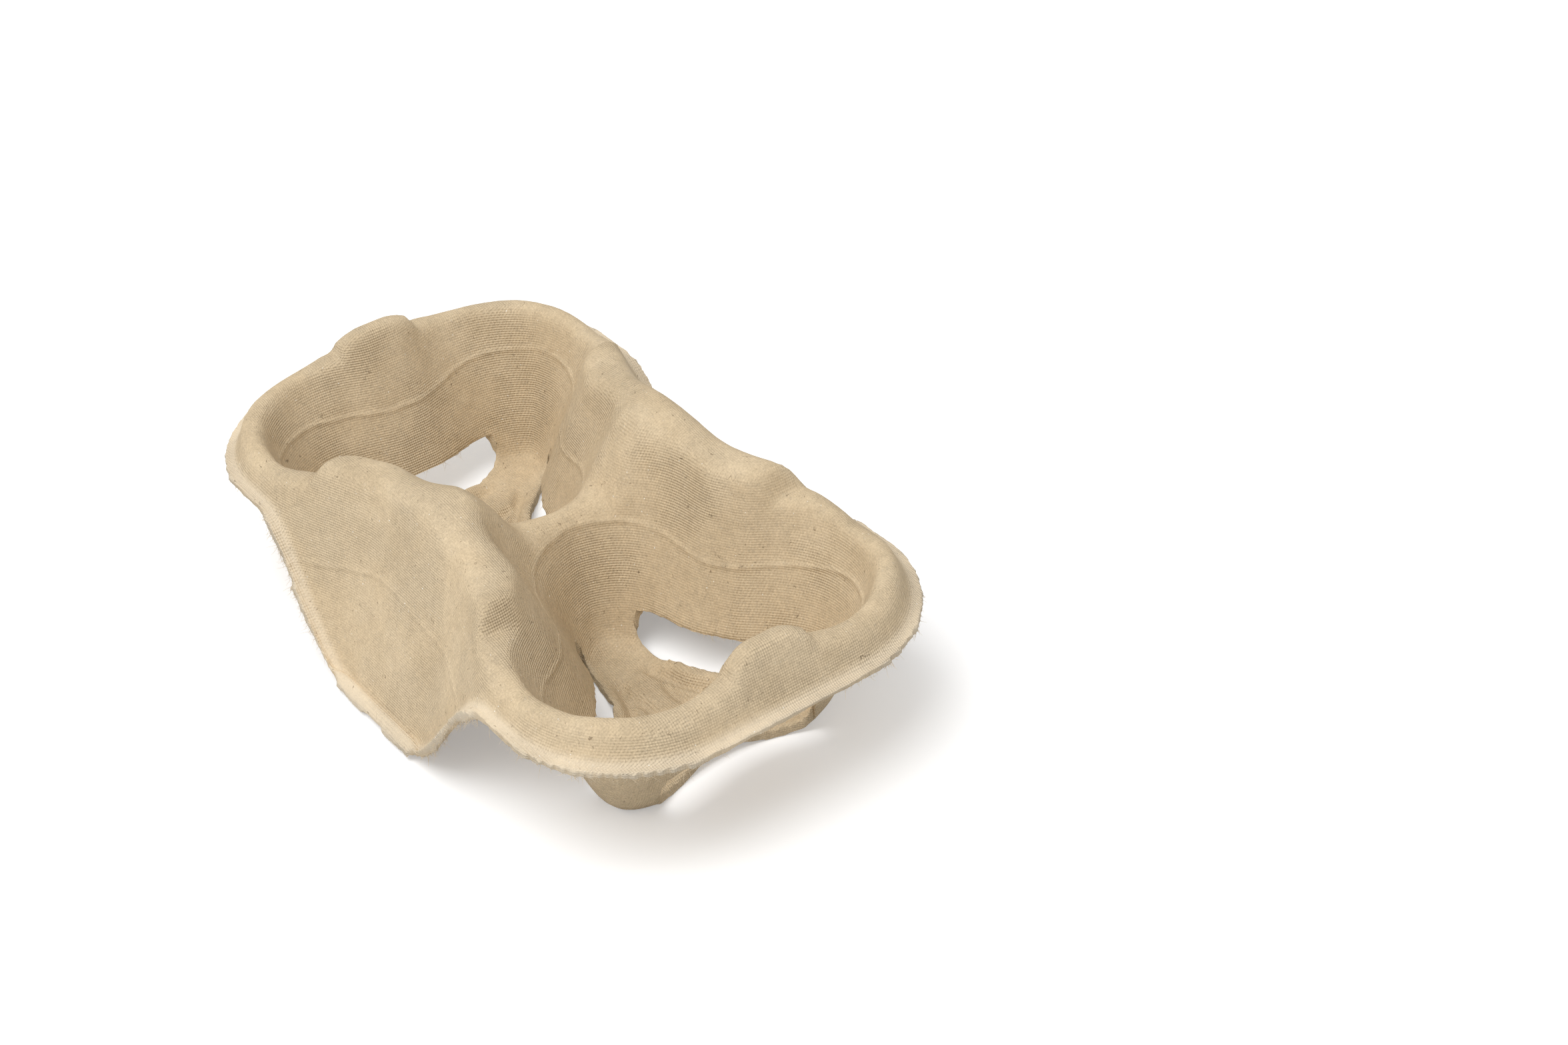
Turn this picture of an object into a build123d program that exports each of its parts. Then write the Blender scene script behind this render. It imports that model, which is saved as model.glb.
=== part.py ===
from build123d import *
import math
import os

os.makedirs("parts", exist_ok=True)

# Two-cup carrier moulded in one piece from paper pulp. Millimetres.
# The tray stands on its floors and waist feet at z = 0, centred on x = y = 0,
# long along x. Everything repeats in mirror image across x = 0 and y = 0.

# Outline and lip
length = 210.0
width = 119.0
corner_radius = 39.0
waist_bulge = 3.0
lip_width = 3.5
lip_level = 38.0
sheet = 2.5

# Cup wells: three lobes parted by three flaps, the first flap towards the end
well_offset = 52.5
floor_lobe = 37.0
floor_flap = 17.0
floor_spread = 41.0
floor_sharpness = 5.0
rim_level = 50.0
rim_lobe = 52.5
rim_flap = 36.5
rim_spread = 24.0
rim_sharpness = 3.2

# Height of the rim above the lip
rim_low = 8.8
ear_rise = 10.4
ear_half = 10.8
ear_edge = 3.4
ear_start = 60.0
ear_full = 75.0
plateau_rise = 9.8
plateau_full = 37.0
plateau_end = 45.0
post_rise = 2.6
post_reach = 24.0
saddle_rise = 1.0
saddle_flat = 8.0
saddle_wide = 31.0
saddle_near = 18.0
saddle_far = 34.0

# Waist between the wells, where the lip dips to the ground
waist_foot = 20.0
waist_top = 57.0
lip_foot = 16.0
lip_top = 56.0

# Wall draught and bends of the sheet
skirt_slope = 2.6
waist_slope = 2.75
rim_bend = 4.5
shoulder_bend = 11.0
foot_bend = 8.0
wall_facing = -0.74
cap_facing = 0.36

# Slots where each flap stops short of the floor
slot_height = 9.5
slot_radius = 50.0
slot_depth = 9.5
slot_angle = 29.0

# Shallow grooves pressed into the floor, along each slot and as a star in the middle
groove_inset = 6.3
groove_width = 3.6
groove_depth = 1.1
groove_angle = 20.0
star_radius = 14.0
star_inset = 5.0
star_angle = 55.0

# How finely the form is sampled: rays from a well's centre, then rings as shares of
# the way from floor to rim and from rim to lip, for the upper and the lower face
stations = 82
upper_inner = (-0.12, 0.03, 0.16, 0.4, 0.62, 0.74, 0.82, 0.89, 0.95, 1.0)
upper_outer = (0.08, 0.16, 0.26, 0.38, 0.52, 0.68, 0.84, 1.0)
lower_inner = (-0.12, 0.05, 0.2, 0.55, 0.8, 0.92, 1.0)
lower_outer = (0.15, 0.35, 0.6, 0.84, 1.0)
crest_short = 2.0
crest_blend = 6.0
overlap = 24.0
overlap_blend = 24.0
band_steps = 8
slope_probe = 0.05
halvings = 36
cut_tolerance = 0.001


def step(value, low, high):
    t = min(max((value - low) / (high - low), 0.0), 1.0)
    return t * t * (3 - 2 * t)


def soft_max(a, b, blend):
    h = max(blend - abs(a - b), 0.0) / blend
    return max(a, b) + h * h * blend / 4


def soft_min(a, b, blend):
    return -soft_max(-a, -b, blend)


def lobed(angle, lobe, flap, spread, sharpness):
    """Radius of a three-lobed ring at an angle from the well's centre."""
    off_flap = abs((math.degrees(angle) + 60) % 120 - 60)
    bulge = 1 / (1 + (off_flap / spread) ** sharpness)
    least = 1 / (1 + (60 / spread) ** sharpness)
    return lobe - (lobe - flap) * (bulge - least) / (1 - least)


def floor_edge(angle):
    return lobed(angle, floor_lobe, floor_flap, floor_spread, floor_sharpness)


def inside(x, y):
    """Distance inwards from the outline, which bulges a little at the waist."""
    bulge = waist_bulge * (1 - step(abs(x), waist_foot, waist_top))
    qx = abs(x) - (length / 2 - corner_radius)
    qy = abs(y) - (width / 2 + bulge - corner_radius)
    return corner_radius - math.hypot(max(qx, 0), max(qy, 0)) - min(max(qx, qy), 0)


def lip_height(x):
    return sheet + (lip_level - sheet) * step(abs(x), lip_foot, lip_top)


def skirt_height(x, y):
    """The outer wall, as a slope that rises inwards from the lip."""
    slope = waist_slope + (skirt_slope - waist_slope) * step(abs(x), waist_foot, waist_top)
    lip = lip_height(x)
    return soft_max(lip, lip + slope * (inside(x, y) - lip_width), foot_bend)


def well_height(dx, y):
    """A cup well, as a ruled wall from its lobed floor to its lobed rim."""
    angle = math.atan2(y, dx)
    low = floor_edge(angle)
    high = lobed(angle, rim_lobe, rim_flap, rim_spread, rim_sharpness)
    wall = sheet + (rim_level - sheet) * (math.hypot(dx, y) - low) / (high - low)
    return soft_max(sheet, wall, foot_bend)


def cap_height(x, y):
    """The top of the rim: ears at the ends, a plateau by the waist, a saddle between wells."""
    ax = abs(x)
    ay = abs(y)
    ear = (1 - step(ay, ear_half - ear_edge, ear_half + ear_edge)) * step(ax, ear_start, ear_full)
    plateau = 1 - step(ax, plateau_full, plateau_end)
    post = 1 - step(ax, 0, post_reach)
    rim = lip_level + rim_low + ear_rise * ear + plateau_rise * plateau + post_rise * post
    saddle = (1 - step(ay, saddle_flat, saddle_wide)) * (1 - step(ax, saddle_near, saddle_far))
    return rim + (lip_level + saddle_rise - rim) * saddle


def meet(a, b, radius, facing):
    """Depth inside two walls whose common edge is rounded; facing is the cosine between them."""
    a -= radius
    b -= radius
    if a < facing * b and b < facing * a:
        return radius - math.sqrt((a * a + b * b - 2 * facing * a * b) / (1 - facing ** 2))
    return radius + min(a, b)


def surface_height(x, y):
    """Height of the upper face of the sheet over a point of the plan."""
    skirt = skirt_height(x, y)
    own = well_height(x - well_offset, y)
    other = well_height(x + well_offset, y)
    cap = cap_height(x, y)
    shoulder = rim_bend + (shoulder_bend - rim_bend) * (1 - step(abs(x), waist_foot, waist_top))
    steep = 1 / math.hypot(1, skirt_slope)
    low = 0
    high = lip_level + rim_low + ear_rise + plateau_rise + post_rise
    for _ in range(halvings):
        z = (low + high) / 2
        wells = meet((own - z) * steep, (other - z) * steep, rim_bend, wall_facing)
        walls = meet(wells, (skirt - z) * steep, rim_bend, wall_facing)
        if meet(walls, cap - z, shoulder, cap_facing) > 0:
            low = z
        else:
            high = z
    return (low + high) / 2


def plan(angle, radius):
    return well_offset + radius * math.cos(angle), radius * math.sin(angle)


def first_beyond(angle, low, high, measure):
    """Radius at which a measure taken along a ray from the well turns negative."""
    for _ in range(halvings):
        middle = (low + high) / 2
        if measure(*plan(angle, middle)) > 0:
            low = middle
        else:
            high = middle
    return low


def ring_radii(angle, inner_shares, outer_shares):
    """Radii of the rings along one ray, from the floor over the rim to the lip's edge."""
    edge = floor_edge(angle)
    outline = first_beyond(angle, 0, length, inside)
    crest = first_beyond(angle, edge, outline, rim_gap)
    if math.cos(angle) < 0:
        middle = well_offset / -math.cos(angle)
        crest = soft_min(crest, middle - crest_short, crest_blend)
        outline = soft_min(outline, middle + overlap, overlap_blend)
    inner = [edge + (crest - edge) * share for share in inner_shares]
    outer = [crest + (outline - crest) * share for share in outer_shares]
    return inner + outer


def rim_gap(x, y):
    return skirt_height(x, y) - well_height(x - well_offset, y)


def sheet_point(x, y, thickness):
    """Point of the sheet's face, pushed in along its normal by a thickness."""
    z = surface_height(x, y)
    # Past x = 0, where the form is cut off, it sinks smoothly to the foot
    cut_off = step(-x, 0, overlap)
    foot = sheet - thickness
    if thickness == 0:
        return x, y, z + (foot - z) * cut_off
    rise_x = surface_height(x + slope_probe, y) - surface_height(x - slope_probe, y)
    rise_y = surface_height(x, y + slope_probe) - surface_height(x, y - slope_probe)
    slope_x = rise_x / (2 * slope_probe)
    slope_y = rise_y / (2 * slope_probe)
    run = thickness / math.sqrt(1 + slope_x ** 2 + slope_y ** 2)
    z -= run
    return x + slope_x * run, y + slope_y * run, z + (foot - z) * cut_off


def rings_of(thickness, inner_shares, outer_shares):
    """Rings of points on one face of the sheet, from the flat floor out to the lip."""
    angles = [2 * math.pi * i / stations - math.pi for i in range(stations)]
    radii = [ring_radii(angle, inner_shares, outer_shares) for angle in angles]
    rings = []
    for k in range(len(radii[0])):
        rings.append([sheet_point(*plan(a, r[k]), thickness) for a, r in zip(angles, radii)])
    rings[0] = [(x, y, sheet - thickness) for x, y, z in rings[0]]
    return rings


def flat_face(*corners):
    return Face(Wire.make_polygon(corners))


def skin_between(ring, following):
    """Flat facets between two rings, each four-cornered cell split along its shorter diagonal."""
    facets = []
    for i in range(stations):
        a, b = ring[i - 1], ring[i]
        c, d = following[i], following[i - 1]
        if math.dist(a, c) < math.dist(b, d):
            facets += [flat_face(a, b, c), flat_face(a, c, d)]
        else:
            facets += [flat_face(a, b, d), flat_face(b, c, d)]
    return facets


def moulded_sheet():
    """The sheet around the +x well: rings out over its upper face and back under it."""
    upper = rings_of(0, upper_inner, upper_outer)
    lower = rings_of(sheet, lower_inner, lower_outer)
    rings = upper + lower[::-1]
    facets = [flat_face(*rings[0]), flat_face(*rings[-1])]
    for ring, following in zip(rings, rings[1:]):
        facets += skin_between(ring, following)
    return Solid(Shell(facets))


def floor_band(flap_angle, radius, distance, half_angle, band, low, high):
    """Curved bar that follows a flap's edge across the floor of the +x well."""
    centre = distance + radius
    sweep = [math.radians(half_angle) * (2 * i / band_steps - 1) for i in range(band_steps + 1)]
    near = [(centre - radius * math.cos(t), radius * math.sin(t), low) for t in sweep]
    narrow = radius - band
    far = [(centre - narrow * math.cos(t), narrow * math.sin(t), low) for t in reversed(sweep)]
    bar = extrude(flat_face(*near, *far), amount=high - low, dir=(0, 0, 1))
    return Location((well_offset, 0, 0), (0, 0, flap_angle)) * bar


def off_the_middle(solid):
    """Faces of a half tray, apart from its flat cut at x = 0."""
    return [
        face for face in solid.faces()
        if max(face.bounding_box().max.X, -face.bounding_box().min.X) > cut_tolerance
    ]


half_space = Pos(length, 0, 0) * Box(2 * length, 2 * width, 2 * length)
half_tray = moulded_sheet() & half_space
flaps = (0, 120, 240)
slots = [
    floor_band(flap, slot_radius, floor_flap, slot_angle, slot_depth, -sheet, sheet + slot_height)
    for flap in flaps
]
grooves = [
    floor_band(flap, slot_radius + groove_inset, floor_flap - groove_inset, groove_angle,
               groove_width, sheet - groove_depth, 2 * sheet)
    for flap in flaps
]
stars = [
    floor_band(flap, star_radius, star_inset, star_angle, groove_width, sheet - groove_depth, 2 * sheet)
    for flap in flaps
]
half_tray = half_tray - slots
half_tray = half_tray - (grooves + stars)

# The two halves are sewn along x = 0, so the tray is one skin with no seam wall inside.
other_half = mirror(half_tray, about=Plane.YZ)
cup_carrier = Solid(Shell(off_the_middle(half_tray) + off_the_middle(other_half)))
export_step(cup_carrier, "parts/cup_carrier.step")
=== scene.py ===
import math
import random

import bpy
import numpy as np
from mathutils import Matrix, Vector, noise


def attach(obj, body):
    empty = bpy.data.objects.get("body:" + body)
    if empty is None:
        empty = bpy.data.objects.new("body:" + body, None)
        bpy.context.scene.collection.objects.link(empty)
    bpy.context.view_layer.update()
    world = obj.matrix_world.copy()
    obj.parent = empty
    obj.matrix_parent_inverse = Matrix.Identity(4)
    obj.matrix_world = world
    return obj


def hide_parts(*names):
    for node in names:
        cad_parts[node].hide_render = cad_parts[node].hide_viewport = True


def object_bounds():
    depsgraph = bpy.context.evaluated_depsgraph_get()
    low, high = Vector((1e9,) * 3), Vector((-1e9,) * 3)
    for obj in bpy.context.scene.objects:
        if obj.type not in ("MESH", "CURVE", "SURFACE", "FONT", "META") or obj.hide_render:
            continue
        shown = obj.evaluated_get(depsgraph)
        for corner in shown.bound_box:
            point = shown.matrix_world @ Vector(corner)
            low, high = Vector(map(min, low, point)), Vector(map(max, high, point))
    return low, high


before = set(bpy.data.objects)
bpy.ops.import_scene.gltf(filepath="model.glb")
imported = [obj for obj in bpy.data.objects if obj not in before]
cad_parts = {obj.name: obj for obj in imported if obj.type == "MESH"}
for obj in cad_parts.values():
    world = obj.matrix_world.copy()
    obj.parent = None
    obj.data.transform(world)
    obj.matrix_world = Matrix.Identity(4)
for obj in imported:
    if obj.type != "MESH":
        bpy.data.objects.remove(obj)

cad_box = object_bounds()


# The camera stands above the near corner of the right-hand well and looks down
# into both wells, with the carrier left of the middle of the picture.
camera_place = Vector((0.5161, -0.2822, 0.4590))
camera_azimuth = math.radians(55.54)
camera_elevation = math.radians(36.20)
camera_roll = math.radians(-3.84)
camera_sensor = 36
camera_lens = 62.9

camera_back = Vector((
    math.sin(camera_azimuth) * math.cos(camera_elevation),
    -math.cos(camera_azimuth) * math.cos(camera_elevation),
    math.sin(camera_elevation),
))
camera_level = Vector((math.cos(camera_azimuth), math.sin(camera_azimuth), 0))
camera_rise = camera_back.cross(camera_level)
camera_right = math.cos(camera_roll) * camera_level + math.sin(camera_roll) * camera_rise
camera_up = math.cos(camera_roll) * camera_rise - math.sin(camera_roll) * camera_level

bpy.ops.object.camera_add(location=camera_place)
camera = bpy.context.object
camera.name = "camera"
camera_axes = Matrix((camera_right, camera_up, camera_back)).transposed()
camera.rotation_euler = camera_axes.to_euler()
camera.data.sensor_width = camera_sensor
camera.data.lens = camera_lens
camera.data.dof.use_dof = False
bpy.context.scene.camera = camera


# The carrier is one sheet of paper pulp, sucked onto a wire screen, pressed and
# dried, so every bend is round. The node's facets are rounded off over its forms,
# while the cut edges of lip and slots stay crisp, and it gets an even grain.
sheet = 0.0025
well_offset = 0.0525
floor_flap = 0.017
flaps = (0, 120, 240)
node_slot_radius = 0.050
node_slot_half_angle = math.radians(29.5)
narrow_slot_radius = 0.0485
slot_centre = floor_flap + node_slot_radius
slot_slack = 0.0002
floor_face = 0.003
groove_floor = 0.0014
groove_reach = 0.025
groove_slack = 0.0001
double_gap = 0.00001
quad_angle = math.radians(30)
quad_shape = math.radians(60)
cut_edge_angle = math.radians(50)
rounding_levels = 2
pulp_grain = 0.00142
press_factor = 0.5
press_passes = 2


def by_flap(x, y, flap, centre):
    """Radius and angle about a centre that lies out from the well's axis towards a flap."""
    turn = math.radians(flap)
    across = np.abs(x) - well_offset
    along = across * math.cos(turn) + y * math.sin(turn) - centre
    aside = y * math.cos(turn) - across * math.sin(turn)
    return np.hypot(along, aside), np.arctan2(aside, -along)


bpy.ops.object.select_all(action="DESELECT")
carrier_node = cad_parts["cup_carrier"]
carrier = carrier_node.copy()
carrier.data = carrier_node.data.copy()
carrier.parent = None
carrier.name = "pulp_carrier"
bpy.context.scene.collection.objects.link(carrier)
bpy.context.view_layer.objects.active = carrier
carrier.select_set(True)
bpy.ops.object.mode_set(mode="EDIT")
bpy.ops.mesh.select_mode(type="EDGE")
bpy.ops.mesh.select_all(action="SELECT")
bpy.ops.mesh.remove_doubles(threshold=double_gap)
bpy.ops.object.mode_set(mode="OBJECT")

# The node's square grooves are filled, and its slots made narrower where they meet
# the floor. Both are pressed and cut afresh further on, past what is left of them.
for vertex in carrier.data.vertices:
    off_axis = abs(abs(vertex.co.x) - well_offset)
    if abs(vertex.co.z - groove_floor) < groove_slack and off_axis < groove_reach:
        vertex.co.z = sheet
    for flap in flaps:
        radius, angle = by_flap(vertex.co.x, vertex.co.y, flap, slot_centre)
        on_edge = abs(radius - node_slot_radius) < slot_slack and abs(angle) < node_slot_half_angle
        if on_edge and vertex.co.z < floor_face:
            turn = math.radians(flap)
            side = -1 if vertex.co.x < 0 else 1
            along = slot_centre - narrow_slot_radius * math.cos(angle)
            aside = narrow_slot_radius * math.sin(angle)
            vertex.co.x = side * (well_offset + along * math.cos(turn) - aside * math.sin(turn))
            vertex.co.y = along * math.sin(turn) + aside * math.cos(turn)

bpy.ops.object.mode_set(mode="EDIT")
bpy.ops.mesh.normals_make_consistent(inside=False)
bpy.ops.mesh.tris_convert_to_quads(face_threshold=quad_angle, shape_threshold=quad_shape)
bpy.ops.mesh.select_all(action="DESELECT")
bpy.ops.mesh.edges_select_sharp(sharpness=cut_edge_angle)
bpy.ops.transform.edge_crease(value=1)
bpy.ops.object.mode_set(mode="OBJECT")

rounded_form = carrier.modifiers.new("rounded_form", "SUBSURF")
rounded_form.levels = rounding_levels
rounded_form.render_levels = rounding_levels
grain = carrier.modifiers.new("grain", "REMESH")
grain.mode = "VOXEL"
grain.voxel_size = pulp_grain
pressing = carrier.modifiers.new("pressing", "SMOOTH")
pressing.factor = press_factor
pressing.iterations = press_passes
for modifier in ("rounded_form", "grain", "pressing"):
    bpy.ops.object.modifier_apply(modifier=modifier)

# The form's sizes, in metres, as in the node. Heights over the plan follow from them:
# two three-lobed wells and a skirt meet in a rounded rim, which a stepped cap cuts off.
corner_radius = 0.039
waist_bulge = 0.003
waist_foot = 0.020
waist_top = 0.057
lip_width = 0.0035
lip_level = 0.038
lip_foot = 0.016
lip_top = 0.056
half_length = (cad_box[1][0] - cad_box[0][0]) / 2
half_width = (cad_box[1][1] - cad_box[0][1]) / 2 - waist_bulge
well_bend = 0.008
waist_slope = 2.75
skirt_slope = 2.6
floor_lobe = 0.037
floor_spread = 41
floor_sharpness = 5
rim_flap = 0.0365
rim_spread = 24
rim_sharpness = 3.2
rim_level = 0.050
ear_half = 0.0108
ear_start = 0.060
ear_full = 0.075
saddle_rise = 0.001
wall_facing = -0.74
cap_facing = 0.36
search_top = 0.07
halvings = 20

# The rim's steps as in the node, which are soft, and as the press leaves them.
node_form = {
    "rim_lobe": 0.0525, "rim_low": 0.0088, "ear_rise": 0.0104, "ear_edge": 0.0034,
    "plateau_rise": 0.0098, "plateau_full": 0.037, "plateau_end": 0.045,
    "post_rise": 0.0026, "post_reach": 0.024, "saddle_flat": 0.008, "saddle_wide": 0.031,
    "saddle_near": 0.018, "saddle_far": 0.034, "rim_bend": 0.0045, "shoulder_bend": 0.011,
    "lip_bend": 0.008,
}
pressed_form = {
    "rim_lobe": 0.0537, "rim_low": 0.0098, "ear_rise": 0.0096, "ear_edge": 0.0019,
    "plateau_rise": 0.0072, "plateau_full": 0.0393, "plateau_end": 0.0440,
    "post_rise": 0.0044, "post_reach": 0.030, "saddle_flat": 0.0105, "saddle_wide": 0.027,
    "saddle_near": 0.015, "saddle_far": 0.030, "rim_bend": 0.0034, "shoulder_bend": 0.0066,
    "lip_bend": 0.0045,
}


def step(value, low, high):
    """0 below low, 1 above high, smooth between."""
    share = np.clip((value - low) / (high - low), 0, 1)
    return share * share * (3 - 2 * share)


def soft_max(first, second, blend):
    """The greater of two heights, with their crossing rounded off."""
    near = np.maximum(blend - np.abs(first - second), 0) / blend
    return np.maximum(first, second) + near * near * blend / 4


def lobed(angle, lobe, flap, spread, sharpness):
    """Radius of a three-lobed ring at an angle from the well's centre."""
    off_flap = np.abs((np.degrees(angle) + 60) % 120 - 60)
    bulge = 1 / (1 + (off_flap / spread) ** sharpness)
    least = 1 / (1 + (60 / spread) ** sharpness)
    return lobe - (lobe - flap) * (bulge - least) / (1 - least)


def from_outline(x, y):
    """Distance inwards from the lip's outer edge, seen from above."""
    bulge = waist_bulge * (1 - step(np.abs(x), waist_foot, waist_top))
    across = np.abs(x) - (half_length - corner_radius)
    along = np.abs(y) - (half_width + bulge - corner_radius)
    corner = np.hypot(np.maximum(across, 0), np.maximum(along, 0))
    return corner_radius - corner - np.minimum(np.maximum(across, along), 0)


def lip_height(x):
    """The lip's upper face: level at the ends, dipping to the ground at the waist."""
    return sheet + (lip_level - sheet) * step(np.abs(x), lip_foot, lip_top)


def skirt_height(x, y, lip_bend):
    """The outer wall, which rises inwards from the lip."""
    slope = waist_slope + (skirt_slope - waist_slope) * step(np.abs(x), waist_foot, waist_top)
    lip = lip_height(x)
    return soft_max(lip, lip + slope * (from_outline(x, y) - lip_width), lip_bend)


def well_height(across, y, rim_lobe):
    """A well's floor and its three-lobed wall, about the well's axis."""
    angle = np.arctan2(y, across)
    low = lobed(angle, floor_lobe, floor_flap, floor_spread, floor_sharpness)
    high = lobed(angle, rim_lobe, rim_flap, rim_spread, rim_sharpness)
    wall = sheet + (rim_level - sheet) * (np.hypot(across, y) - low) / (high - low)
    return soft_max(sheet, wall, well_bend)


def cap_height(x, y, form):
    """The top of the rim: ears at the ends, a plateau by the waist, a saddle between wells."""
    aside = np.abs(y)
    ear = 1 - step(aside, ear_half - form["ear_edge"], ear_half + form["ear_edge"])
    ear = ear * step(np.abs(x), ear_start, ear_full)
    plateau = 1 - step(np.abs(x), form["plateau_full"], form["plateau_end"])
    post = 1 - step(np.abs(x), 0, form["post_reach"])
    rim = lip_level + form["rim_low"] + form["ear_rise"] * ear
    rim = rim + form["plateau_rise"] * plateau + form["post_rise"] * post
    saddle = 1 - step(aside, form["saddle_flat"], form["saddle_wide"])
    saddle = saddle * (1 - step(np.abs(x), form["saddle_near"], form["saddle_far"]))
    return rim + (lip_level + saddle_rise - rim) * saddle


def meet(first, second, radius, facing):
    """Depth inside two walls whose common edge is rounded; facing is the cosine between them."""
    first = first - radius
    second = second - radius
    spread = first * first + second * second - 2 * facing * first * second
    rounded = radius - np.sqrt(np.maximum(spread, 0) / (1 - facing ** 2))
    on_edge = (first < facing * second) & (second < facing * first)
    return np.where(on_edge, rounded, radius + np.minimum(first, second))


def form_height(x, y, form):
    """Height of the sheet's upper face over points of the plan, found by halving."""
    x = np.abs(x)
    skirt = skirt_height(x, y, form["lip_bend"])
    own = well_height(x - well_offset, y, form["rim_lobe"])
    other = well_height(-x - well_offset, y, form["rim_lobe"])
    cap = cap_height(x, y, form)
    rim_bend = form["rim_bend"]
    shoulder = rim_bend + (form["shoulder_bend"] - rim_bend) * (1 - step(x, waist_foot, waist_top))
    steep = 1 / math.hypot(1, skirt_slope)
    low = np.zeros_like(x)
    high = np.full_like(x, search_top)
    for _ in range(halvings):
        z = (low + high) / 2
        wells = meet((own - z) * steep, (other - z) * steep, rim_bend, wall_facing)
        walls = meet(wells, (skirt - z) * steep, rim_bend, wall_facing)
        solid = meet(walls, cap - z, shoulder, cap_facing) > 0
        low = np.where(solid, z, low)
        high = np.where(solid, high, z)
    return (low + high) / 2


def rows(items, name):
    """Places or normals of a mesh's vertices or polygons, one to a row."""
    values = np.empty(3 * len(items))
    items.foreach_get(name, values)
    return values.reshape(-1, 3)


def refine(chosen, cuts):
    """Subdivide the chosen faces of the carrier."""
    carrier.data.vertices.foreach_set("select", np.zeros(len(carrier.data.vertices), dtype=bool))
    carrier.data.edges.foreach_set("select", np.zeros(len(carrier.data.edges), dtype=bool))
    carrier.data.polygons.foreach_set("select", chosen)
    bpy.ops.object.mode_set(mode="EDIT")
    bpy.ops.mesh.select_mode(type="FACE")
    bpy.ops.mesh.subdivide(number_cuts=cuts, smoothness=0, ngon=True)
    bpy.ops.object.mode_set(mode="OBJECT")


# Where each flap stops short of the floor a curved slot is cut clean through. Its
# cutter is an upright blade swept about the slot's centre, once for every flap.
slot_radius = 0.0496
slot_depth = 0.0102
slot_top = 0.0131
slot_half_angle = math.radians(30.2)
slot_facets = 26
flap_turn = math.radians(120)
slot_axis = (well_offset + slot_centre, 0, 0)
well_axis = (well_offset, 0, 0)
blade_middle = (slot_axis[0] - slot_radius + slot_depth / 2, 0, (slot_top - sheet) / 2)
blade_size = (slot_depth, 1, slot_top + sheet)

bpy.ops.object.select_all(action="DESELECT")
bpy.ops.mesh.primitive_plane_add(size=1, location=blade_middle, rotation=(math.pi / 2, 0, 0))
bpy.ops.object.transform_apply()
cutter = bpy.context.object
cutter.name = "slot_cutter"
bpy.ops.object.mode_set(mode="EDIT")
bpy.ops.transform.resize(value=blade_size, center_override=blade_middle)
bpy.ops.transform.rotate(value=-slot_half_angle, orient_axis="Z", center_override=slot_axis)
bpy.ops.mesh.spin(steps=slot_facets, angle=2 * slot_half_angle, center=slot_axis, axis=(0, 0, 1))
bpy.ops.mesh.select_all(action="SELECT")
for _ in flaps[1:]:
    bpy.ops.mesh.duplicate()
    bpy.ops.transform.rotate(value=flap_turn, orient_axis="Z", center_override=well_axis)
bpy.ops.mesh.select_all(action="SELECT")
bpy.ops.mesh.duplicate()
bpy.ops.transform.rotate(value=math.pi, orient_axis="Z", center_override=(0, 0, 0))
bpy.ops.mesh.select_all(action="SELECT")
bpy.ops.mesh.normals_make_consistent(inside=False)
bpy.ops.object.mode_set(mode="OBJECT")
cutter.select_set(False)
bpy.context.view_layer.objects.active = carrier
carrier.select_set(True)
slots = carrier.modifiers.new("slots", "BOOLEAN")
slots.operation = "DIFFERENCE"
slots.solver = "EXACT"
slots.object = cutter
bpy.ops.object.modifier_apply(modifier="slots")
bpy.data.objects.remove(cutter)

# Every point of the upper face is set onto the crisper form. Points under it keep
# their depth in the sheet, and the floors stay as they are.
slope_probe = 0.00005
upper_from = 0.25
upper_to = 0.55
wall_agreement = 0.2
foot_agreement = 0.68
agreement_span = 0.28
foot_level = 0.016
floor_end = 0.0030
wall_start = 0.0055
x, y, z = rows(carrier.data.vertices, "co").T
node_height = form_height(x, y, node_form)
slope_x = form_height(x + slope_probe, y, node_form) - form_height(x - slope_probe, y, node_form)
slope_y = form_height(x, y + slope_probe, node_form) - form_height(x, y - slope_probe, node_form)
slope_x = slope_x / (2 * slope_probe)
slope_y = slope_y / (2 * slope_probe)
level = 1 / np.sqrt(1 + slope_x ** 2 + slope_y ** 2)
depth = (node_height - z) * level
normals = rows(carrier.data.vertices, "normal")
agreement = (normals[:, 2] - slope_x * normals[:, 0] - slope_y * normals[:, 1]) * level
least = np.where(z < foot_level, foot_agreement, wall_agreement)
upper = 1 - step(depth / sheet, upper_from, upper_to)
upper = upper * step(agreement, least, least + agreement_span)
base_x = x - slope_x * level * depth
base_y = y - slope_y * level * depth
lift_above = form_height(x, y, pressed_form) - z
lift_below = form_height(base_x, base_y, pressed_form) - form_height(base_x, base_y, node_form)
off_floor = step(node_height, floor_end, wall_start)
z = z + off_floor * (lift_below + (lift_above - lift_below) * upper)
carrier.data.vertices.foreach_set("co", np.stack((x, y, z), axis=1).ravel())
carrier.data.update()

# Shallow grooves stiffen each floor: one along every slot, and a star in the middle.
# Each is an arc, given by its centre out from the well's axis, its radius and half its run.
groove_depth = 0.0018
groove_half_width = 0.0027
groove_end = 0.004
slot_groove = (slot_centre, 0.0545, 0.0165)
star_groove = (0.019, 0.0122, 0.0105)
floor_under = 0.0018
floor_over = 0.005
floor_upright = 0.4
patch_under = 0.002
patch_over = 0.0045
patch_upright = 0.7
patch_radius = 0.022
patch_cuts = 1


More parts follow.
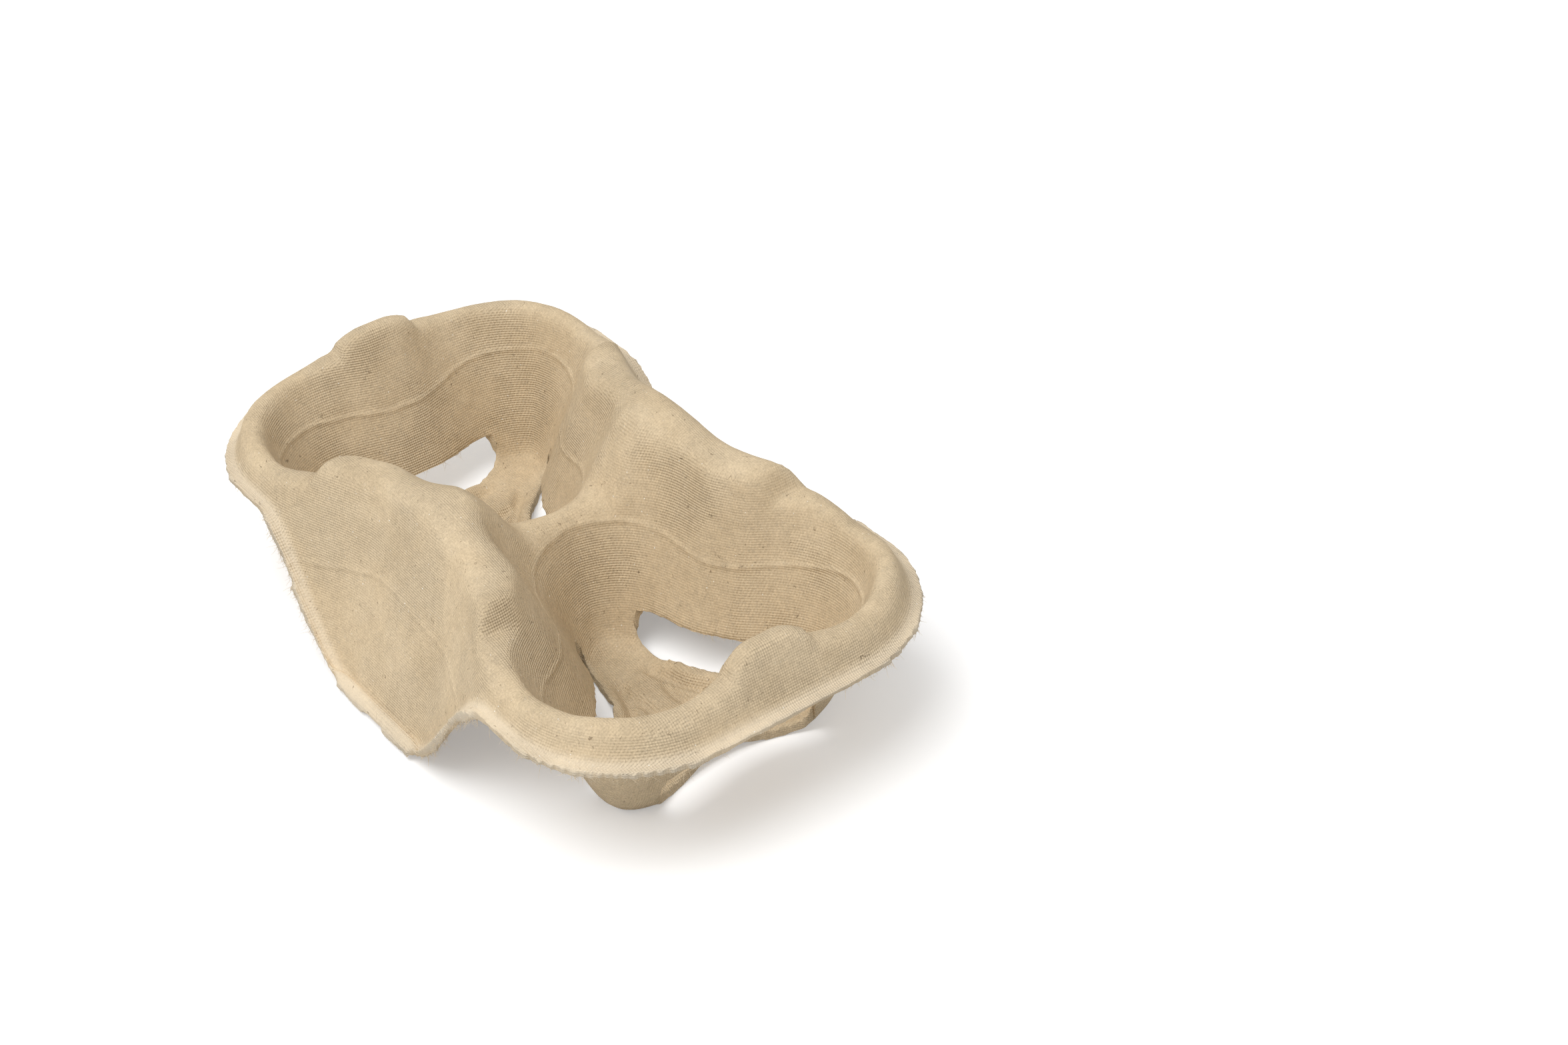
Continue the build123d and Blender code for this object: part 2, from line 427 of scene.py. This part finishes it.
def groove_fall(x, y):
    """How deep the floor is pressed in at places of the plan."""
    fall = np.zeros_like(x)
    for centre, line_radius, half_run in (slot_groove, star_groove):
        for flap in flaps:
            radius, angle = by_flap(x, y, flap, centre)
            off_line = np.abs(radius - line_radius) / groove_half_width
            run = np.abs(angle) * line_radius
            valley = np.clip(1 - off_line ** 2, 0, 1) ** 2
            valley = valley * (1 - step(run, half_run, half_run + groove_end))
            fall = np.maximum(fall, valley)
    return fall * groove_depth


points = rows(carrier.data.polygons, "center")
normals = rows(carrier.data.polygons, "normal")
off_axis = np.hypot(np.abs(points[:, 0]) - well_offset, points[:, 1])
patch = (points[:, 2] < patch_over) & (points[:, 2] > patch_under)
refine(patch & (normals[:, 2] > patch_upright) & (off_axis < patch_radius), patch_cuts)
points = rows(carrier.data.vertices, "co")
normals = rows(carrier.data.vertices, "normal")
on_floor = (points[:, 2] > floor_under) & (points[:, 2] < floor_over)
on_floor &= normals[:, 2] > floor_upright
points[:, 2] -= groove_fall(points[:, 0], points[:, 1]) * on_floor
carrier.data.vertices.foreach_set("co", points.ravel())
carrier.data.update()

# Two stretches need a finer grain: the torn edge of the lip, and the thin ridge
# that the joint between two wire screens leaves round the walls of each well.
ridge_level = 0.0332
ridge_wave = 0.0019
ridge_drop = 0.005
ridge_height = 0.00042
ridge_width = 0.00055
ridge_wander = 0.0016
wander_size = 0.022
ridge_tremble = 0.0003
tremble_size = 0.006
ridge_steepest = 0.05
ridge_flattest = 0.7
ridge_fine = 0.0016
waist_half = 0.037
lip_fine = 0.0014
lip_flattest = 0.7
lip_cuts = 2
ridge_cuts = 1


def ridge_places(points, normals):
    """Level of the screen joint at places on the walls of a well or of the waist."""
    x, y, z = points.T
    across = np.abs(x) - well_offset
    plan = [Vector((u, v, 0)) for u, v in zip(x, y)]
    wander = [noise.noise(place / wander_size) * ridge_wander for place in plan]
    tremble = [noise.noise(place / tremble_size) * ridge_tremble for place in plan]
    outward = np.sign(x) * normals[:, 0] * across + normals[:, 1] * y
    well_ridge = ridge_level - ridge_wave * np.cos(3 * np.arctan2(y, across))
    waist_ridge = ridge_level - ridge_drop * (x / waist_half) ** 2
    ridge = np.where((outward < 0) | (np.abs(x) > lip_top), well_ridge, waist_ridge)
    return ridge + np.array(wander) + np.array(tremble)


points = rows(carrier.data.polygons, "center")
normals = rows(carrier.data.polygons, "normal")
near_lip = from_outline(points[:, 0], points[:, 1]) < lip_fine
refine(near_lip & (normals[:, 2] < lip_flattest), lip_cuts)
points = rows(carrier.data.polygons, "center")
normals = rows(carrier.data.polygons, "normal")
off_ridge = np.abs(points[:, 2] - ridge_places(points, normals))
on_wall = (normals[:, 2] > ridge_steepest) & (normals[:, 2] < ridge_flattest)
refine(on_wall & (off_ridge < ridge_fine), ridge_cuts)

# The pressed sheet is a little uneven, and blistered in a few places, each given by
# its middle, radius and height. The lip's edge is torn: its lower corner hangs in
# teeth and rises in notches, in three sizes, each with a depth and a noise layer.
ripple_size = 0.020
ripple_depth = 0.00022
lump_size = 0.0055
lump_depth = 0.00006
lump_roughness = 0.8
lump_octaves = 3
blister_reach = 2
blisters = (
    (Vector((-0.0717, 0.0435, 0.0370)), 0.0011, 0.00060),
    (Vector((-0.0815, 0.0194, 0.0238)), 0.0018, 0.00030),
    (Vector((-0.0816, 0.0314, 0.0282)), 0.0017, 0.00025),
    (Vector((0.0126, -0.0025, 0.0140)), 0.0022, 0.00030),
    (Vector((0.0089, -0.0081, 0.0308)), 0.0013, 0.00030),
    (Vector((-0.0364, -0.0501, 0.0413)), 0.0017, 0.00018),
    (Vector((0.0138, 0.0114, 0.0258)), 0.0015, -0.00028),
)
tear_reach = 0.0022
tear_level = 0.0002
tear_bands = ((0.011, 0.0009, 0), (0.0030, 0.0007, 5), (0.0009, 0.00045, 9))
fray_bands = ((0.0012, 0.00025), (0.004, 0.0003))
most_below = 1.2
ridge_fade_size = 0.012
ridge_fade_level = 0.3
edge_band = (0.0002, 0.0012)
edge_turn = (0.3, 0.8)
# How far in from the lip's edge, and how upward facing, the painted highlight on the lip's top
# reaches.
lip_highlight_reach = (0.0026, 0.0044)
lip_highlight_turn = (0.1, 0.5)
smooth_angle = math.radians(55)


def uneven(point):
    """How far the pressed sheet stands out from its form at a point."""
    push = noise.noise(point / ripple_size) * ripple_depth
    push += noise.fractal(point / lump_size, lump_roughness, 2.0, lump_octaves) * lump_depth
    for centre, radius, height in blisters:
        away = (point - centre).length / radius
        if away < blister_reach:
            push += height * math.exp(-away ** 4)
    return push


def torn(point):
    """How far the lip's lower corner hangs down, along the edge."""
    hang = tear_level
    for size, drop, layer in tear_bands:
        hang += noise.noise(Vector((point.x, point.y, 0)) / size + Vector((0, 0, layer))) * drop
    return hang


points = rows(carrier.data.vertices, "co")
normals = rows(carrier.data.vertices, "normal")
off_ridge = (points[:, 2] - ridge_places(points, normals)) / ridge_width
ridge_push = ridge_height * np.exp(-off_ridge * off_ridge) * (normals[:, 2] > ridge_steepest)
inwards = from_outline(points[:, 0], points[:, 1])
lips = lip_height(points[:, 0])
below = np.clip((lips - points[:, 2]) / sheet, 0, most_below)
near_edge = 1 - step(inwards, 0, tear_reach)
edge_share = (1 - step(inwards, *edge_band)) * (1 - step(normals[:, 2], *edge_turn))
# The lip's upward face gets a painted highlight: this share makes its colour paler there.
lip_highlight_share = (1 - step(inwards, *lip_highlight_reach)) * step(normals[:, 2], *lip_highlight_turn)

for vertex in carrier.data.vertices:
    k = vertex.index
    point = Vector(points[k])
    normal = Vector(normals[k])
    fade = noise.noise(Vector((point.x, point.y, ridge_fade_level)) / ridge_fade_size)
    ridge = ridge_push[k] * (0.75 + 0.5 * fade)
    place = point + normal * (uneven(point) + ridge)
    if near_edge[k] > 0:
        place.z -= below[k] * near_edge[k] * torn(point)
        rough = sum(noise.noise(point / size) * depth for size, depth in fray_bands)
        place += Vector((normal.x, normal.y, 0)) * rough * near_edge[k]
    place.z = max(place.z, 0.0)
    vertex.co = place

# Marks kept on the mesh: the torn edge's greyer colour, and the painted highlight on the lip's upward
# face.
for name, shares in (("edge", edge_share), ("band", lip_highlight_share)):
    mark = carrier.data.attributes.new(name, "FLOAT", "POINT")
    mark.data.foreach_set("value", shares.astype(np.float32))
bpy.ops.object.select_all(action="DESELECT")
carrier.select_set(True)
bpy.context.view_layer.objects.active = carrier
bpy.ops.object.shade_smooth_by_angle(angle=smooth_angle)


# The finish is bare paper pulp: warm buff, matt and mottled, with short fibres,
# dark flecks, a few white specks, and the weave of the wire screen in its face; the lip's upward face
# also carries a painted highlight.
weave_pitch = 0.00064
pulp_roughness = 0.9
pulp_shine = 0.12
pulp_light = (0.727, 0.582, 0.390)
pulp_dark = (0.682, 0.537, 0.350)
pulp_edge = (0.570, 0.490, 0.375)
# Paler colour painted onto the lip's upward face, as a painted highlight.
lip_highlight_colour = (0.80, 0.69, 0.53)
fleck_colour = (0.13, 0.085, 0.05)
speck_colour = (0.93, 0.90, 0.83)

pulp = bpy.data.materials.new("paper_pulp")
pulp.use_nodes = True
pulp_nodes = pulp.node_tree.nodes
pulp_links = pulp.node_tree.links
pulp_shader = pulp_nodes["Principled BSDF"]
pulp_shader.inputs["Roughness"].default_value = pulp_roughness
pulp_shader.inputs["Specular IOR Level"].default_value = pulp_shine
pulp_place = pulp_nodes.new("ShaderNodeTexCoord")


def plug(socket, value):
    """Feeds a socket from another node's output, or gives it a plain value or colour."""
    if isinstance(value, bpy.types.NodeSocket):
        pulp_links.new(value, socket)
    elif isinstance(value, tuple):
        socket.default_value = (*value, 1)
    else:
        socket.default_value = value


def speckle(scale, detail=2.0, rough=0.5, bend=0.0):
    """Soft noise from 0 to 1, with about scale patches to the metre."""
    node = pulp_nodes.new("ShaderNodeTexNoise")
    plug(node.inputs["Vector"], pulp_place.outputs["Object"])
    plug(node.inputs["Scale"], scale)
    plug(node.inputs["Detail"], detail)
    plug(node.inputs["Roughness"], rough)
    plug(node.inputs["Distortion"], bend)
    return node.outputs["Fac"]


def between(value, low, high):
    """0 where a value is below low, 1 above high, smooth between."""
    node = pulp_nodes.new("ShaderNodeMapRange")
    node.interpolation_type = "SMOOTHSTEP"
    plug(node.inputs["Value"], value)
    plug(node.inputs["From Min"], low)
    plug(node.inputs["From Max"], high)
    return node.outputs["Result"]


def reckoned(kind, first, second=0.0, third=0.0):
    """One step of arithmetic on values or other nodes' outputs."""
    node = pulp_nodes.new("ShaderNodeMath")
    node.operation = kind
    for socket, value in zip(node.inputs, (first, second, third)):
        plug(socket, value)
    return node.outputs["Value"]


def strands(noise_value, width):
    """1 along the thin lines where a noise crosses its middle, 0 elsewhere."""
    off_line = reckoned("ABSOLUTE", reckoned("SUBTRACT", noise_value, 0.5))
    return reckoned("SUBTRACT", 1.0, between(off_line, 0.0, width))


def tinted(amount, colour, tint, kind="MIX"):
    """A colour with some of a second one laid over it."""
    node = pulp_nodes.new("ShaderNodeMix")
    node.data_type = "RGBA"
    node.blend_type = kind
    for socket, value in ((node.inputs[0], amount), (node.inputs[6], colour), (node.inputs[7], tint)):
        plug(socket, value)
    return node.outputs[2]


# Wires of the screen: three families of ribs, each seen where the face isn't
# square to it, so that a wall shows level ribs crossed by fainter ones. The
# imprint is clear in some places and nearly gone in others.
weave_patches = 38
weave_least = 0.25
wires = pulp_nodes.new("ShaderNodeVectorMath")
wires.operation = "SCALE"
plug(wires.inputs[0], pulp_place.outputs["Object"])
plug(wires.inputs["Scale"], 2 * math.pi / weave_pitch)
wire_parts = pulp_nodes.new("ShaderNodeSeparateXYZ")
plug(wire_parts.inputs["Vector"], wires.outputs["Vector"])
facing = pulp_nodes.new("ShaderNodeSeparateXYZ")
plug(facing.inputs["Vector"], pulp_place.outputs["Normal"])
weave = 0.0
for axis in "XYZ":
    rib = reckoned("SINE", wire_parts.outputs[axis])
    square = reckoned("MULTIPLY", facing.outputs[axis], facing.outputs[axis])
    shown = reckoned("SUBTRACT", 1.0, square)
    weave = reckoned("MULTIPLY_ADD", rib, shown, weave)
weave_clear = between(speckle(weave_patches, 2, 0.5), 0.36, 0.62)
weave_share = reckoned("MULTIPLY_ADD", weave_clear, 1 - weave_least, weave_least)
weave = reckoned("MULTIPLY", weave, weave_share)

# Colour, from the broad clouds down to single fibres, flecks and specks. The lip's
# upward face is painted paler, a painted highlight where the window falls on it, and its torn edge is
# greyer.
clump_strength = 0.11
fuzz_strength = 0.24
lip_highlight_strength = 0.55
fibre_strength = 0.16
fleck_strength = 0.60
shred_strength = 0.55
smudge_strength = 0.10
cloud = speckle(70, 3, 0.55)
clump = speckle(420, 3, 0.6)
fuzz = speckle(1900, 3, 0.65)
fibre_gap = between(speckle(300, 1, 0.5), 0.50, 0.58)
fibre = reckoned("MULTIPLY", strands(speckle(650, 1, 0.4, 1.4), 0.012), fibre_gap)
fleck = between(speckle(640, 3, 0.6, 0.6), 0.672, 0.725)
shred_gap = between(speckle(260, 1, 0.5), 0.63, 0.67)
shred = reckoned("MULTIPLY", strands(speckle(330, 0, 0.5, 0.7), 0.011), shred_gap)
smudge = between(speckle(170, 2, 0.5), 0.70, 0.80)
speck = between(speckle(1300, 1, 0.5), 0.775, 0.81)
lip_highlight_mark = pulp_nodes.new("ShaderNodeAttribute")
lip_highlight_mark.attribute_name = "band"
edge_mark = pulp_nodes.new("ShaderNodeAttribute")
edge_mark.attribute_name = "edge"

colour = tinted(between(cloud, 0.32, 0.68), pulp_dark, pulp_light)
colour = tinted(clump_strength, colour, between(clump, 0.20, 0.72), "MULTIPLY")
colour = tinted(fuzz_strength, colour, between(fuzz, 0.25, 0.75), "MULTIPLY")
# Painted highlight: the lip's upward face is made paler.
colour = tinted(reckoned("MULTIPLY", lip_highlight_mark.outputs["Fac"], lip_highlight_strength), colour, lip_highlight_colour)
colour = tinted(edge_mark.outputs["Fac"], colour, pulp_edge)
colour = tinted(reckoned("MULTIPLY", fibre, fibre_strength), colour, speck_colour)
colour = tinted(reckoned("MULTIPLY", fleck, fleck_strength), colour, fleck_colour)
colour = tinted(reckoned("MULTIPLY", shred, shred_strength), colour, fleck_colour)
colour = tinted(reckoned("MULTIPLY", smudge, smudge_strength), colour, fleck_colour)
colour = tinted(speck, colour, speck_colour)
plug(pulp_shader.inputs["Base Color"], colour)

# Relief too fine for the mesh: the weave, and the felt of the fibres.
weave_relief = 0.50
fuzz_relief = 0.45
clump_relief = 0.22
fibre_relief = 0.25
relief_strength = 0.9
relief_height = 0.00018
relief = reckoned("MULTIPLY", weave, weave_relief)
relief = reckoned("MULTIPLY_ADD", fuzz, fuzz_relief, relief)
relief = reckoned("MULTIPLY_ADD", clump, clump_relief, relief)
relief = reckoned("MULTIPLY_ADD", fibre, fibre_relief, relief)
bump = pulp_nodes.new("ShaderNodeBump")
plug(bump.inputs["Strength"], relief_strength)
plug(bump.inputs["Distance"], relief_height)
plug(bump.inputs["Height"], relief)
plug(pulp_shader.inputs["Normal"], bump.outputs["Normal"])

carrier.data.materials.clear()
carrier.data.materials.append(pulp)
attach(carrier, "root")
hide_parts("cup_carrier")


# Loose ends of paper fibre stand out along the torn edges, densest under the lip
# and fewer along the slots. Each is a curved hair, thicker where it is rooted.
lip_hairs = 1500
slot_hairs = 260
hair_shortest = 0.0005
hair_longest = 0.0020
hair_thickness = 0.00005
hair_taper = 0.6
hair_steps = 3
lip_root_reach = 0.0012
lip_root_drop = 0.6 * sheet
lip_root_least = 0.001
slot_root_slack = 0.0003
slot_root_inwards = 0.012
slot_root_reach = 0.036
slot_root_facing = -0.2
hair_outwards = 0.8
hair_downwards = 0.7
hair_curl = 0.5
draw = random.Random(11)

points = rows(carrier.data.vertices, "co")
normals = rows(carrier.data.vertices, "normal")
inwards = from_outline(points[:, 0], points[:, 1])
hanging = lip_height(points[:, 0]) - points[:, 2] > lip_root_drop
hanging &= points[:, 2] > lip_root_least
lip_roots = np.flatnonzero((inwards < lip_root_reach) & hanging).tolist()
at_slot = (np.abs(points[:, 2] - slot_top) < slot_root_slack) & (inwards > slot_root_inwards)
at_slot &= np.hypot(np.abs(points[:, 0]) - well_offset, points[:, 1]) < slot_root_reach
slot_roots = np.flatnonzero(at_slot & (normals[:, 2] < slot_root_facing)).tolist()

hairs = bpy.data.curves.new("edge_fibres", "CURVE")
hairs.dimensions = "3D"
hairs.bevel_depth = hair_thickness
hairs.bevel_resolution = 0
for roots, count in ((lip_roots, lip_hairs), (slot_roots, slot_hairs)):
    for index in draw.sample(roots, min(count, len(roots))):
        vertex = carrier.data.vertices[index]
        outward = Vector((vertex.normal.x, vertex.normal.y, 0)) * hair_outwards
        outward += Vector((0, 0, -hair_downwards))
        stray = Vector((draw.gauss(0, 0.6), draw.gauss(0, 0.6), draw.gauss(0, 0.35)))
        way = (outward + stray).normalized()
        curl = Vector((draw.gauss(0, 1), draw.gauss(0, 1), draw.gauss(-0.3, 0.6))) * hair_curl
        reach = hair_shortest + (hair_longest - hair_shortest) * draw.random() ** 2
        spline = hairs.splines.new("POLY")
        spline.points.add(hair_steps)
        for k, hair_point in enumerate(spline.points):
            along = k / hair_steps
            place = vertex.co + (way * along + curl * along * along) * reach
            place.z = max(place.z, hair_thickness)
            hair_point.co = (*place, 1)
            hair_point.radius = 1 - hair_taper * along
fibres = bpy.data.objects.new("edge_fibres", hairs)
bpy.context.scene.collection.objects.link(fibres)
bpy.ops.object.select_all(action="DESELECT")
bpy.context.view_layer.objects.active = fibres
fibres.select_set(True)
bpy.ops.object.convert(target="MESH")
fibres = bpy.context.object

fibre_light = (0.76, 0.64, 0.47, 1)
fibre_dark = (0.50, 0.40, 0.27, 1)
fibre_patches = 600
fibre_paper = bpy.data.materials.new("paper_fibre")
fibre_paper.use_nodes = True
fibre_nodes = fibre_paper.node_tree.nodes
fibre_links = fibre_paper.node_tree.links
fibre_shader = fibre_nodes["Principled BSDF"]
fibre_shader.inputs["Roughness"].default_value = 0.85
fibre_shader.inputs["Specular IOR Level"].default_value = 0.15
fibre_place = fibre_nodes.new("ShaderNodeTexCoord")
fibre_tone = fibre_nodes.new("ShaderNodeTexNoise")
fibre_tone.inputs["Scale"].default_value = fibre_patches
fibre_range = fibre_nodes.new("ShaderNodeValToRGB")
fibre_range.color_ramp.elements[0].color = fibre_dark
fibre_range.color_ramp.elements[1].color = fibre_light
fibre_links.new(fibre_place.outputs["Object"], fibre_tone.inputs["Vector"])
fibre_links.new(fibre_tone.outputs["Fac"], fibre_range.inputs["Fac"])
fibre_links.new(fibre_range.outputs["Color"], fibre_shader.inputs["Base Color"])
fibres.data.materials.clear()
fibres.data.materials.append(fibre_paper)
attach(fibres, "root")


# A plain white table top and white surroundings. Seen straight by the camera,
# both are white, and the table keeps the carrier's soft shadow.
table_size = 6
table_gap = 0.0002
table_white = (0.86, 0.86, 0.86, 1)
table_lift = 0.28
surroundings_light = 0.60
pure_white = (1, 1, 1, 1)

bpy.ops.object.select_all(action="DESELECT")
bpy.ops.mesh.primitive_plane_add(size=table_size, location=(0, 0, -table_gap))
floor = bpy.context.object
floor.name = "floor"
paper_white = bpy.data.materials.new("white_floor")
paper_white.use_nodes = True
white_nodes = paper_white.node_tree.nodes
white_links = paper_white.node_tree.links
white_shader = white_nodes["Principled BSDF"]
white_shader.inputs["Base Color"].default_value = table_white
white_shader.inputs["Roughness"].default_value = 0.9
white_shader.inputs["Specular IOR Level"].default_value = 0
white_shader.inputs["Emission Color"].default_value = pure_white
white_ray = white_nodes.new("ShaderNodeLightPath")
white_lift = white_nodes.new("ShaderNodeMath")
white_lift.operation = "MULTIPLY"
white_lift.inputs[1].default_value = table_lift
white_links.new(white_ray.outputs["Is Camera Ray"], white_lift.inputs[0])
white_links.new(white_lift.outputs["Value"], white_shader.inputs["Emission Strength"])
floor.data.materials.append(paper_white)

world = bpy.data.worlds.new("studio")
bpy.context.scene.world = world
world.use_nodes = True
sky_nodes = world.node_tree.nodes
sky_links = world.node_tree.links
sky = sky_nodes["Background"]
sky.inputs["Color"].default_value = pure_white
sky_ray = sky_nodes.new("ShaderNodeLightPath")
sky_strength = sky_nodes.new("ShaderNodeMapRange")
sky_strength.inputs["To Min"].default_value = surroundings_light
sky_strength.inputs["To Max"].default_value = 1.0
sky_links.new(sky_ray.outputs["Is Camera Ray"], sky_strength.inputs["Value"])
sky_links.new(sky_strength.outputs["Result"], sky.inputs["Strength"])

# One large soft window, almost overhead, a little towards the camera and to its left.
window_place = Vector((0.10, -0.50, 1.25))
window_aim = Vector((0, 0, 0.03))
bpy.ops.object.light_add(type="AREA", location=window_place)
window = bpy.context.object
window.name = "window"
window.data.size = 1.0
window.data.energy = 14
window.rotation_euler = (window_aim - window_place).to_track_quat("-Z", "Y").to_euler()

bpy.context.scene.view_settings.view_transform = "Standard"
